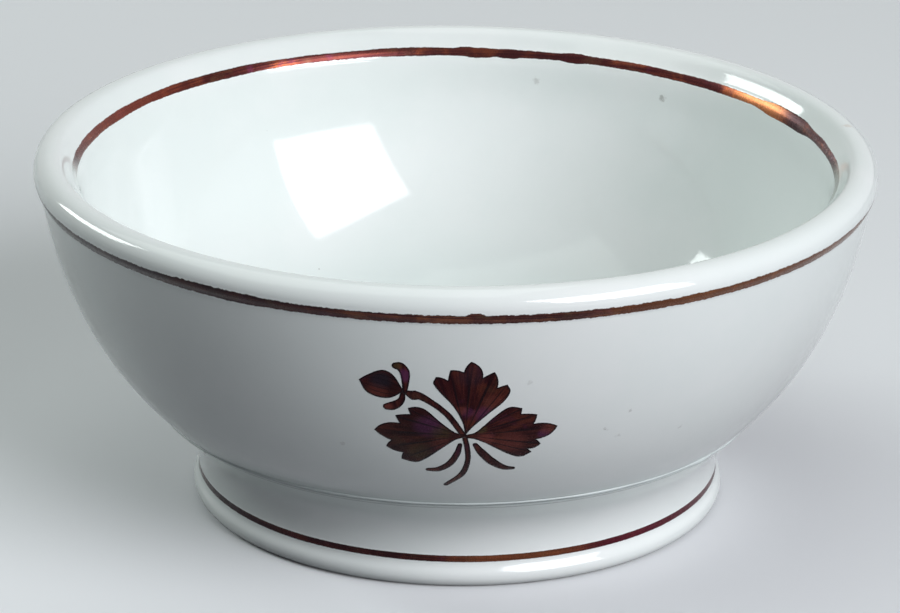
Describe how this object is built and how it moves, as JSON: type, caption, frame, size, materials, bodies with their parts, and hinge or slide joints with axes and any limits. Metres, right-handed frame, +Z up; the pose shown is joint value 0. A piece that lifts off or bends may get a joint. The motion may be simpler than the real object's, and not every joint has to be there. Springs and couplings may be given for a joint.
{
  "type": "slop bowl",
  "caption": "Thick round pottery slop bowl with a rolled rim and a turned foot, painted with lustre bands round rim and foot and a leaf-and-bud sprig front and back.",
  "frame": {"origin": "centre of the flat face that the foot stands on", "axes": "+Z up along the bowl's axis; the front sprig faces -Y and the back sprig +Y; +X is to the right seen from the front"},
  "size_m": [0.146, 0.146, 0.0633],
  "materials": {
    "glaze": "clear gloss glaze over white earthenware, faintly blue-green",
    "slip": "bead of slip under the same gloss glaze",
    "band_lustre": "hand-painted copper lustre, dark brown with copper glints",
    "sprig_lustre": "hand-painted copper lustre, dark brown with purple and olive tints"
  },
  "bodies": {
    "root": {"bowl_body": "glaze", "foot_ring": "glaze", "slip_seam": "slip", "outer_rim_band": "band_lustre", "inner_rim_band": "band_lustre", "foot_band": "band_lustre", "front_bud": "sprig_lustre", "front_bud_stem": "sprig_lustre", "front_sepal_upper": "sprig_lustre", "front_sepal_lower": "sprig_lustre", "front_leaf_centre": "sprig_lustre", "front_leaf_left": "sprig_lustre", "front_leaf_right": "sprig_lustre", "front_leaf_stem": "sprig_lustre", "front_tendril_left": "sprig_lustre", "front_tendril_right": "sprig_lustre", "back_bud": "sprig_lustre", "back_bud_stem": "sprig_lustre", "back_sepal_upper": "sprig_lustre", "back_sepal_lower": "sprig_lustre", "back_leaf_centre": "sprig_lustre", "back_leaf_left": "sprig_lustre", "back_leaf_right": "sprig_lustre", "back_leaf_stem": "sprig_lustre", "back_tendril_left": "sprig_lustre", "back_tendril_right": "sprig_lustre"}
  },
  "joints": []
}
